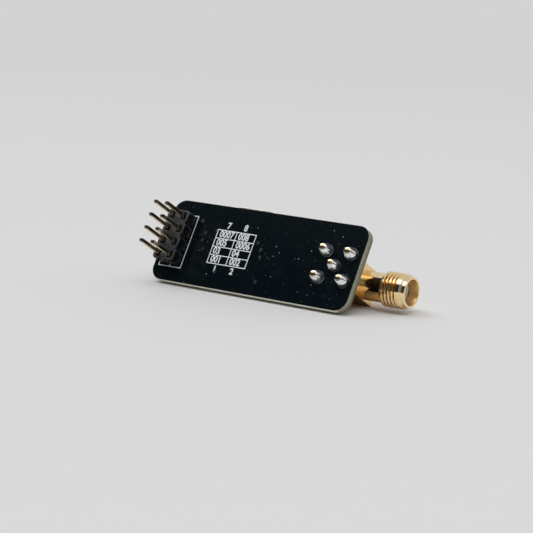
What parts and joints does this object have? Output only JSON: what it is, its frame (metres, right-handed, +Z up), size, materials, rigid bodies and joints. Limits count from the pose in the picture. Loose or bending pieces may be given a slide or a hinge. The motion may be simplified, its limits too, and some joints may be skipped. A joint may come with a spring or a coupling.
{
  "type": "radio transceiver module",
  "caption": "Small radio module: a narrow circuit board with a two-row pin header at one end and a threaded coaxial antenna jack at the other, leaning back on the jack.",
  "frame": {"origin": "middle of the box around the whole part, on the surface it stands on", "axes": "+X along the board from the header to the jack's mouth and along the jack's axis; +Z up; the solder side with the header pins looks towards -Y and, because the board leans back, a little up"},
  "size_m": [0.0492, 0.0202, 0.0155],
  "materials": {
    "board_mask": "satin black solder mask over a glass-fibre core, which shows at the edges",
    "header_plastic": "satin black moulding",
    "pin_gold": "thin gold plating, slightly dull",
    "jack_gold": "polished gold plating",
    "contact_gold": "polished gold plating",
    "solder": "bright solder",
    "insulator_white": "satin white fluoropolymer",
    "seat_plastic": "matte black",
    "crystal_metal": "satin nickel plating",
    "tinned_lead": "bright tin plating",
    "quartz": "clear",
    "chip_plastic": "fine matte moulding",
    "capacitor_ceramic": "tan ceramic with tinned ends",
    "resistor_black": "black glaze with tinned ends",
    "coil_white": "pale ceramic with tinned ends"
  },
  "bodies": {
    "root": {"circuit_board": "board_mask", "header_housing": "header_plastic", "header_pin_1": "pin_gold", "header_pin_2": "pin_gold", "header_pin_3": "pin_gold", "header_pin_4": "pin_gold", "header_pin_5": "pin_gold", "header_pin_6": "pin_gold", "header_pin_7": "pin_gold", "header_pin_8": "pin_gold", "header_solder_joints": "solder", "jack_block": "jack_gold", "jack_barrel": "jack_gold", "jack_rear_cap": "jack_gold", "jack_insulator": "insulator_white", "jack_center_contact": "contact_gold", "jack_center_pin": "contact_gold", "jack_pin_sleeve": "insulator_white", "jack_solder_joints": "solder", "crystal_seat": "seat_plastic", "crystal_flange": "crystal_metal", "crystal_can": "crystal_metal", "quartz_blank": "quartz", "crystal_lead_1": "tinned_lead", "crystal_lead_2": "tinned_lead", "transceiver_chip": "chip_plastic", "amplifier_chip": "chip_plastic", "supply_capacitor_1": "capacitor_ceramic", "supply_capacitor_2": "capacitor_ceramic", "supply_capacitor_3": "capacitor_ceramic", "crystal_capacitor_1": "capacitor_ceramic", "crystal_capacitor_2": "capacitor_ceramic", "core_capacitor": "capacitor_ceramic", "coupling_capacitor_1": "capacitor_ceramic", "coupling_capacitor_2": "capacitor_ceramic", "filter_capacitor_1": "capacitor_ceramic", "filter_capacitor_2": "capacitor_ceramic", "amplifier_capacitor_1": "capacitor_ceramic", "amplifier_capacitor_2": "capacitor_ceramic", "crystal_resistor": "resistor_black", "bias_resistor": "resistor_black", "control_resistor_1": "resistor_black", "control_resistor_2": "resistor_black", "balun_coil_1": "coil_white", "balun_coil_2": "coil_white", "balun_coil_3": "coil_white", "filter_coil": "coil_white"}
  },
  "joints": []
}
